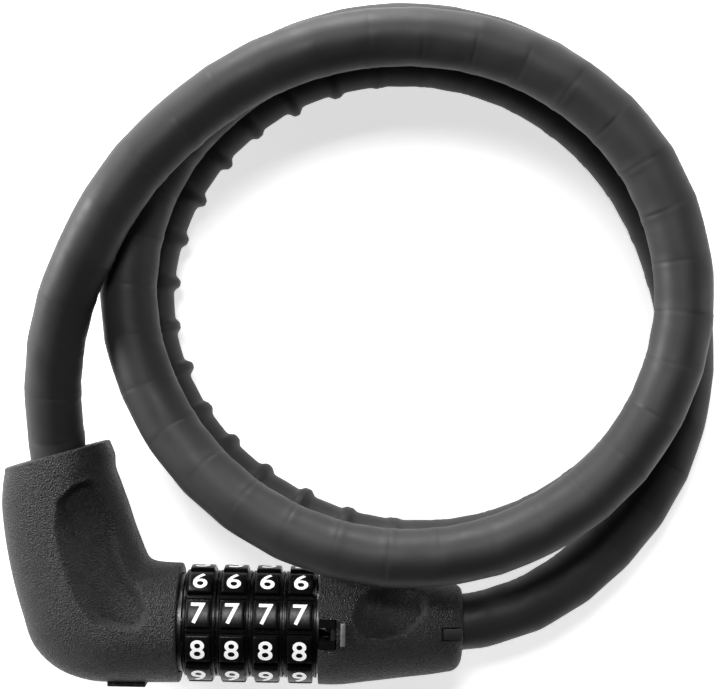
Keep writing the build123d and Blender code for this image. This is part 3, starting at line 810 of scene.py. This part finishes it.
def build_head(materials):
    shell = materials["shell_plastic"]
    front = head_half("head_front", True, shell)
    back = head_half("head_back", False, shell)
    cut(front, [block_cutter(*place) for place in (NOTCH, MARK, CLIP)])
    cups = wells("head_screw_wells", HEAD_SCREWS, back, shell)
    cut(back, well_cutters(HEAD_SCREWS))
    (x0, x1), half, (z0, z1) = MARK
    gap = 0.08
    mark = rounded_block("index_mark", (x0 + gap, x1 - gap), (-half + gap, half - gap), (z0, z1), 0.2,
                         materials["mark_grey"])
    (x0, x1), half, (z0, z1) = CLIP
    clip = rounded_block("cable_clip", (x0 + 0.5, HEAD_END - 0.35), (-half + 0.15, half - 0.45),
                         (z0, z0 + 0.7), 0.15, materials["clip_grey"])
    fixings = screws("head_fixings", HEAD_SCREWS, HEAD_SCREW_TIP, materials["screw_steel"])
    slots = ((front, "shell_plastic"), (back, "shell_plastic"), (cups, "shell_plastic"),
             (fixings, "screw_steel"), (mark, "mark_white"), (clip, "clip_grey"))
    for piece, slot in slots:
        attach(piece, "bolt_head")
    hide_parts("head_front_shell")
    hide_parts("head_back_shell")
    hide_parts("head_screws")
    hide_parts("index_bar")
    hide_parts("end_clip")


# ---------------------------------------------------------------- dials

def pad_steps():
    """(degrees from the pad's middle, how far the pad is raised, how far the gap's bar is)."""
    half = [(0.0, 1.0, 0.0), (4.0, 1.0, 0.0), (8.0, 1.0, 0.0), (11.6, 1.0, 0.0), (13.0, 0.97, 0.0),
            (13.8, 0.86, 0.0), (14.05, 0.7, 0.0), (14.1, 0.0, 0.0), (16.3, 0.0, 0.0), (16.4, 0.0, 0.85),
            (16.8, 0.0, 1.0)]
    return [(-a, up, rib) for a, up, rib in reversed(half[1:])] + half


def number_ring(name, start, material):
    """A ring with a raised pad for each number and a small bar in the gap between two pads."""
    section = RING_SIDE + PAD_SECTION
    section += [(DIAL_STEP - x, r) for x, r in reversed(section[:-1])]
    loops = []
    for pad in range(DIGITS):
        for offset, up, rib in pad_steps():
            angle = math.radians(FIRST_PAD + pad * 360 / DIGITS + offset)
            loop = []
            for x, r in section:
                if r > SIDE_R:
                    r = GAP_R + (r - GAP_R) * up + (BAR_R - GAP_R) * rib
                loop.append((x, r))
            loop += RING_BORE
            loops.append([(start + x, -r * math.sin(angle), r * math.cos(angle)) for x, r in loop])
    return loop_solid(name, loops, material, closed=True, sharp=28)


def digit_mesh(digit):
    """The number as flat faces about its own middle, cut into strips so that it can be bent."""
    text = bpy.data.curves.new("digit", "FONT")
    text.body = str(digit)
    text.size = 10.0
    text.offset = DIGIT_BOLD
    text.resolution_u = 8
    holder = add_object("digit", text)
    mesh = evaluated_mesh(holder)
    bpy.data.objects.remove(holder)
    work = bmesh.new()
    work.from_mesh(mesh)
    xs, ys = ([v.co[k] for v in work.verts] for k in (0, 1))
    width = DIGIT_WIDTH * (ONE_WIDTH if digit == 1 else 1.0)
    for vert in work.verts:
        vert.co.x = (vert.co.x - (min(xs) + max(xs)) / 2) * width / (max(xs) - min(xs))
        vert.co.y = (vert.co.y - (min(ys) + max(ys)) / 2) * DIGIT_HEIGHT / (max(ys) - min(ys))
    bmesh.ops.remove_doubles(work, verts=work.verts, dist=1e-4)
    for level in np.arange(-DIGIT_HEIGHT / 2 + DIGIT_STRIP, DIGIT_HEIGHT / 2, DIGIT_STRIP):
        geometry = work.verts[:] + work.edges[:] + work.faces[:]
        bmesh.ops.bisect_plane(work, geom=geometry, plane_co=(0, level, 0), plane_no=(0, 1, 0))
    made = bmesh.ops.extrude_face_region(work, geom=work.faces[:])
    for item in made["geom"]:
        if isinstance(item, bmesh.types.BMVert):
            item.co.z -= DIGIT_THICK
    return work


def ring_numbers(name, start, shapes, material):
    """The ten printed numbers, bent round the pads."""
    points, faces = [], []
    for digit, work in enumerate(shapes):
        middle = math.radians(FIRST_PAD + (digit - PAD_EIGHT) * 360 / DIGITS)
        base = len(points)
        work.verts.index_update()
        for vert in work.verts:
            angle = middle - vert.co.y / DIGIT_R
            r = DIGIT_R + DIGIT_PROUD + vert.co.z
            points.append((start + DIAL_STEP / 2 + vert.co.x, -r * math.sin(angle), r * math.cos(angle)))
        faces += [tuple(base + v.index for v in face.verts) for face in work.faces]
    return add_mesh(name, in_frame(points), faces, material)


def build_dials(materials):
    shapes = [digit_mesh(digit) for digit in range(DIGITS)]
    for i in range(DIALS):
        start = DIAL_START + i * DIAL_STEP
        ring = number_ring(f"dial_{i + 1}_ring", start, materials["dial_plastic"])
        numbers = ring_numbers(f"dial_{i + 1}_numbers", start, shapes, materials["mark_white"])
        for piece, slot in ((ring, "dial_plastic"), (numbers, "mark_white")):
            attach(piece, f"dial_{i + 1}")
        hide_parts(f"number_ring_{i + 1}")
    for work in shapes:
        work.free()


# ---------------------------------------------------------------- springs

def spring_mesh(name, ends, mean_r, wire_r, turns, middles, material):
    """Round-wire coils along the dial axis between two x, one about each y in middles."""
    steps, around = int(turns * 20), 10
    t = np.linspace(0, 1, steps + 1)
    phase = 2 * math.pi * turns * t
    psi = np.arange(around) * 2 * math.pi / around
    x = ends[0] + wire_r + (ends[1] - ends[0] - 2 * wire_r) * t
    r = mean_r + wire_r * np.cos(psi)[None, :]
    points, faces = [], []
    for y in middles:
        base = len(points)
        tube = np.stack([x[:, None] + wire_r * np.sin(psi)[None, :], y + r * np.cos(phase)[:, None],
                         r * np.sin(phase)[:, None]], axis=-1)
        points += list(tube.reshape(-1, 3))
        faces += tube_faces(steps + 1, around, base=base)
    return add_mesh(name, in_frame(points), faces, material)


def build_springs(materials):
    """The reset and ejector springs, built in place of the frame's spring nodes, with their placing
    baked into their meshes; nothing here stretches or shortens them.
    """
    wire = materials["spring_steel"]
    reset = spring_mesh("reset_coils", RESET_COIL_X, *RESET_COIL, RESET_COIL_Y, wire)
    ejector = spring_mesh("ejector_coil", EJECTOR_COIL_X, *EJECTOR_COIL, EJECTOR_COIL_Y, wire)
    pairs = ((reset, "reset_carriage", RESET_COIL_X, "reset_springs"),
             (ejector, "bolt_head", EJECTOR_COIL_X, "ejector_spring"))
    for piece, body, (x0, x1), cad_node in pairs:
        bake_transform(piece)
        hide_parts(cad_node)


# ---------------------------------------------------------------- the rest

def finish_frame_nodes(materials):
    """The CAD nodes that stay as they are take a finish for their record's slot, but for the collar and
    the discs, which take dark finishes so that they show dark between the rings: painted shade for the
    gaps there."""
    slots = {one["node"]: one["material_slot"] for one in frame["record"]["subparts"]}
    # Painted shade: dark finishes for the collar and the discs, so that the gaps between the rings show
    # dark.
    slots["locating_collar"] = "dial_plastic"
    slots["dial_discs"] = "screw_steel"
    for name, obj in frame["nodes"].items():
        for slot in obj.material_slots:
            slot.material = materials[slots[name]]


def add_floor():
    size = 3.0
    points = [(-size, -size, 0), (size, -size, 0), (size, size, 0), (-size, size, 0)]
    made, tree, shader = new_material("pale_paper", Roughness=0.85, Emission_Color=(1, 1, 1, 1),
                                      Emission_Strength=0.68)
    tree.links.new(two_colours(tree, noise(tree, 8, 3.0), (0.93, 0.93, 0.93), (0.95, 0.95, 0.95)),
                   shader.inputs["Base Color"])
    floor = add_mesh("floor", points, [(0, 1, 2, 3)], made)


add_camera()
MATERIALS = make_materials()
build_cable(MATERIALS)
add_lights()
add_floor()
build_elbow(MATERIALS)
build_head(MATERIALS)
build_dials(MATERIALS)
build_springs(MATERIALS)
finish_frame_nodes(MATERIALS)
